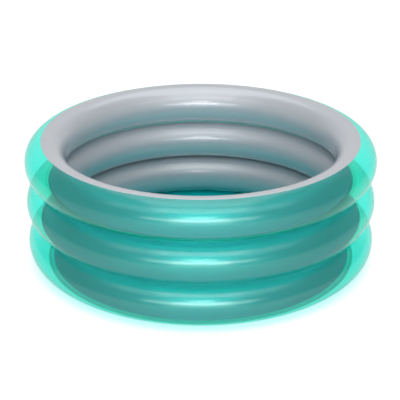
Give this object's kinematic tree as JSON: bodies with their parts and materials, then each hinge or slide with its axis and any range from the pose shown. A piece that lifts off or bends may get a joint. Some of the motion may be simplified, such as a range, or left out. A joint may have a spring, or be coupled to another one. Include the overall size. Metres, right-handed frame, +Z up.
{
  "type": "inflatable paddling pool",
  "caption": "Round inflatable paddling pool: stacked air rings with a clear teal outer film and a silver inner film, a film floor, push-in air valves and a floor drain.",
  "frame": {"origin": "middle of the floor sheet's underside, on the surface that the pool stands on", "axes": "+Z up, out of the pool; -Y is the front, and the air valves are round +Y"},
  "size_m": [1.4972, 1.5, 0.5383],
  "materials": {
    "outer_film": "clear teal film, glossy",
    "inner_film": "opaque metallic silver film, satin gloss",
    "weld": "welded film, glossy",
    "floor_film": "deep teal film, glossy",
    "valve": "soft moulded plastic, milky",
    "diaphragm": "thin soft plastic, milky",
    "stopper": "soft moulded plastic, milky"
  },
  "bodies": {
    "pool": {"floor_sheet": "floor_film", "bottom_ring_outer_film": "outer_film", "bottom_ring_inner_film": "inner_film", "middle_ring_outer_film": "outer_film", "middle_ring_inner_film": "inner_film", "top_ring_outer_film": "outer_film", "top_ring_inner_film": "inner_film", "top_seam": "weld", "middle_top_weld": "weld", "bottom_middle_weld": "weld", "bottom_ring_floor_weld": "weld", "bottom_valve_flange": "valve", "middle_valve_flange": "valve", "top_valve_flange": "valve", "bottom_valve_diaphragm": "diaphragm", "middle_valve_diaphragm": "diaphragm", "top_valve_diaphragm": "diaphragm", "drain_fitting": "valve"},
    "top_valve_stem": {"top_valve_stem": "valve"},
    "top_valve_stopper": {"top_valve_stopper": "stopper"},
    "top_valve_flap": {"top_valve_flap": "stopper"},
    "middle_valve_stem": {"middle_valve_stem": "valve"},
    "middle_valve_stopper": {"middle_valve_stopper": "stopper"},
    "middle_valve_flap": {"middle_valve_flap": "stopper"},
    "bottom_valve_stem": {"bottom_valve_stem": "valve"},
    "bottom_valve_stopper": {"bottom_valve_stopper": "stopper"},
    "bottom_valve_flap": {"bottom_valve_flap": "stopper"},
    "drain_plug": {"drain_plug": "stopper"}
  },
  "joints": [
    {"name": "top_valve_slide", "type": "slide", "parent": "pool", "child": "top_valve_stem", "axis": [0.2588, 0.9659, 0], "range_m": [0, 0.012], "deforming": ["top_valve_diaphragm"]},
    {"name": "top_valve_stopper_hinge", "type": "hinge", "parent": "top_valve_stem", "child": "top_valve_stopper", "pos_m": [0.18559, 0.7274, 0.4509], "axis": [0, 0, 1], "range_deg": [0, 120]},
    {"name": "top_valve_flap_hinge", "type": "hinge", "parent": "top_valve_stem", "child": "top_valve_flap", "pos_m": [0.19594, 0.70847, 0.4509], "axis": [0, 0, 1], "range_deg": [0, 60]},
    {"name": "middle_valve_slide", "type": "slide", "parent": "pool", "child": "middle_valve_stem", "axis": [0, 1, 0], "range_m": [0, 0.012], "deforming": ["middle_valve_diaphragm"]},
    {"name": "middle_valve_stopper_hinge", "type": "hinge", "parent": "middle_valve_stem", "child": "middle_valve_stopper", "pos_m": [-0.009, 0.75064, 0.2711], "axis": [0, 0, 1], "range_deg": [0, 120]},
    {"name": "middle_valve_flap_hinge", "type": "hinge", "parent": "middle_valve_stem", "child": "middle_valve_flap", "pos_m": [0.0059, 0.73504, 0.2711], "axis": [0, 0, 1], "range_deg": [0, 60]},
    {"name": "bottom_valve_slide", "type": "slide", "parent": "pool", "child": "bottom_valve_stem", "axis": [-0.2588, 0.9659, 0], "range_m": [0, 0.012], "deforming": ["bottom_valve_diaphragm"]},
    {"name": "bottom_valve_stopper_hinge", "type": "hinge", "parent": "bottom_valve_stem", "child": "bottom_valve_stopper", "pos_m": [-0.20297, 0.72274, 0.0913], "axis": [0, 0, 1], "range_deg": [0, 120]},
    {"name": "bottom_valve_flap_hinge", "type": "hinge", "parent": "bottom_valve_stem", "child": "bottom_valve_flap", "pos_m": [-0.18454, 0.71152, 0.0913], "axis": [0, 0, 1], "range_deg": [0, 60]},
    {"name": "drain_plug_hinge", "type": "hinge", "parent": "pool", "child": "drain_plug", "pos_m": [0.014, -0.42, 0.0058], "axis": [0, 1, 0], "range_deg": [0, 120]}
  ]
}
